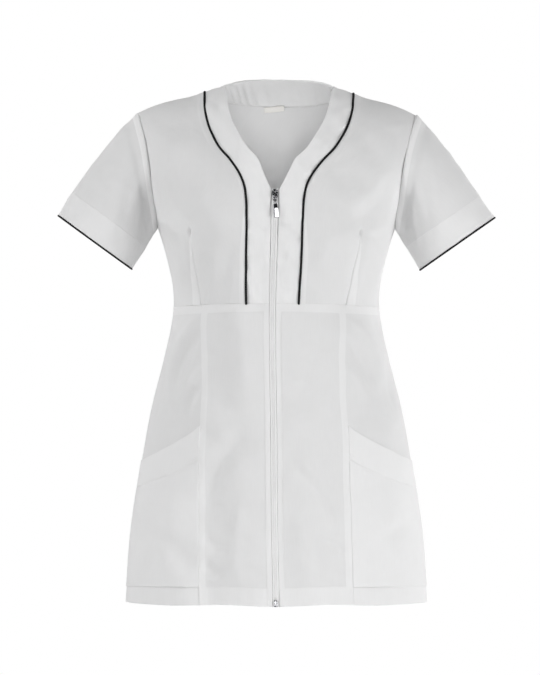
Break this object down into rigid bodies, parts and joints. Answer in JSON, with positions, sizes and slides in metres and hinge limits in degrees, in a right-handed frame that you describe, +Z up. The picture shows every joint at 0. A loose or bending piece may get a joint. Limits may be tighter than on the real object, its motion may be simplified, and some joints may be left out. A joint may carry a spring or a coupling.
{
  "type": "work tunic",
  "caption": "Short-sleeved work tunic with a zip front, V neck band, piped seams, patch pockets and cuffed sleeves, filled out as when worn.",
  "frame": {"origin": "midway between the shoulders, at the height where the outer edge of the neck band crosses them, where the wearer holds the tunic up", "axes": "+Z up the garment, +X towards the wearer's left, +Y towards the wearer's back"},
  "size_m": [0.6353, 0.2875, 0.7634],
  "materials": {
    "white_cloth": "matt fine twill of polyester and cotton",
    "black_piping": "satin bias-covered cord",
    "zip_tape": "matt woven tape",
    "zip_coil": "satin nylon coil",
    "zip_metal": "polished nickel plate",
    "label": "blank woven satin"
  },
  "bodies": {
    "garment": {"back": "white_cloth", "bodice_front_left": "white_cloth", "bodice_front_right": "white_cloth", "neck_band_left": "white_cloth", "neck_band_right": "white_cloth", "neck_band_back": "white_cloth", "skirt_front_left": "white_cloth", "skirt_front_right": "white_cloth", "side_front_left": "white_cloth", "side_front_right": "white_cloth", "pocket_left": "white_cloth", "pocket_right": "white_cloth", "sleeve_left": "white_cloth", "sleeve_right": "white_cloth", "cuff_left": "white_cloth", "cuff_right": "white_cloth", "piping_front_left": "black_piping", "piping_front_right": "black_piping", "piping_back": "black_piping", "cuff_piping_left": "black_piping", "cuff_piping_right": "black_piping", "zip_tape_left": "zip_tape", "zip_tape_right": "zip_tape", "zip_coil": "zip_coil", "zip_slider": "zip_metal", "zip_box": "zip_metal", "label": "label"},
    "pull_tab": {"zip_pull": "zip_metal"}
  },
  "joints": [
    {"name": "pull_swing", "type": "hinge", "parent": "garment", "child": "pull_tab", "pos_m": [-0.00204, -0.12993, -0.15355], "axis": [-1, 0, 0], "range_deg": [0, 160]}
  ]
}
